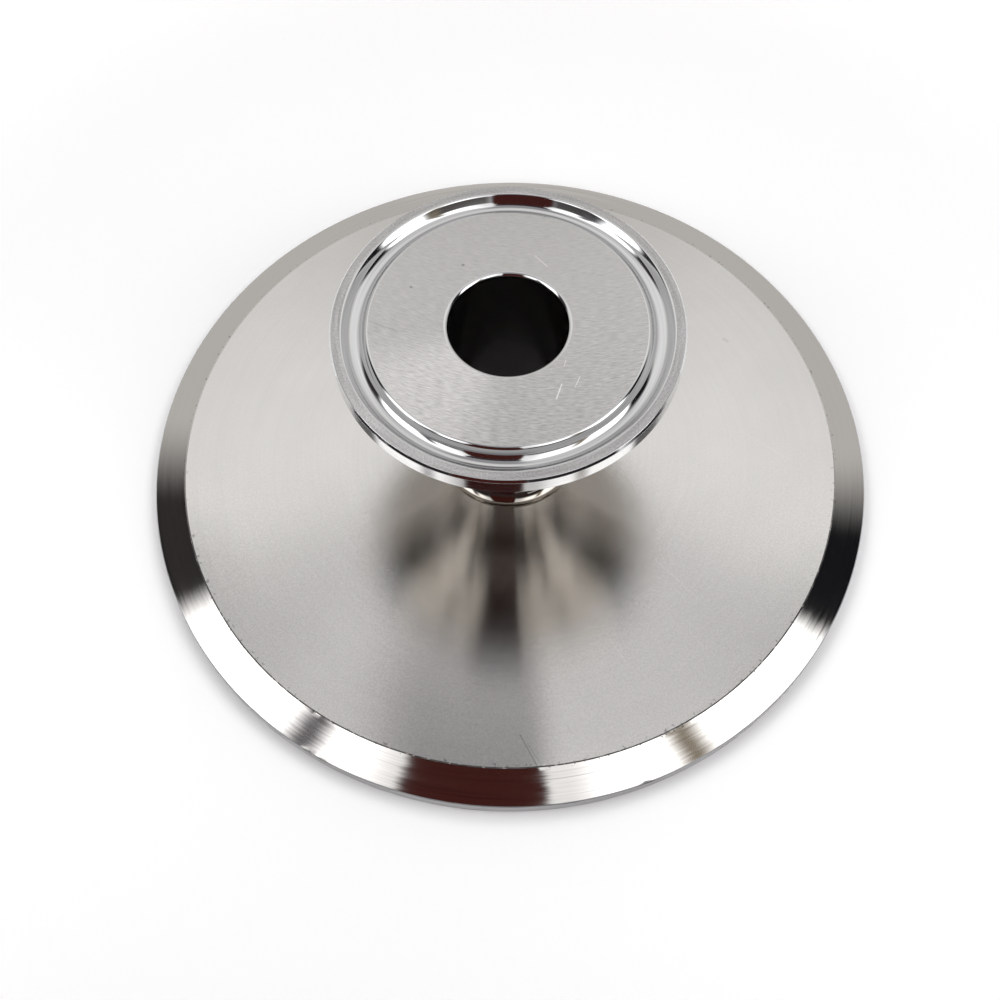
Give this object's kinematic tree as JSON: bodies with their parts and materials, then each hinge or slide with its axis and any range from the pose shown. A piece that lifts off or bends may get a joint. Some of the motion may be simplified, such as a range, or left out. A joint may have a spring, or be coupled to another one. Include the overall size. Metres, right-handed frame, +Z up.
{
  "type": "sanitary clamp reducer",
  "caption": "Stainless steel clamp fitting: a wide flat clamp flange with a short neck and a small clamp flange, bored right through.",
  "frame": {"origin": "centre of the bore in the flat face under the large flange, which the part rests on", "axes": "+Z up along the bore from the large flange to the small one; the part is the same all round, so +X is any direction across"},
  "size_m": [0.119, 0.119, 0.04],
  "materials": {
    "stainless": "fine satin faces, turned and polished bevel, rims, grooves and neck"
  },
  "bodies": {
    "root": {"reducer_body": "stainless"}
  },
  "joints": []
}
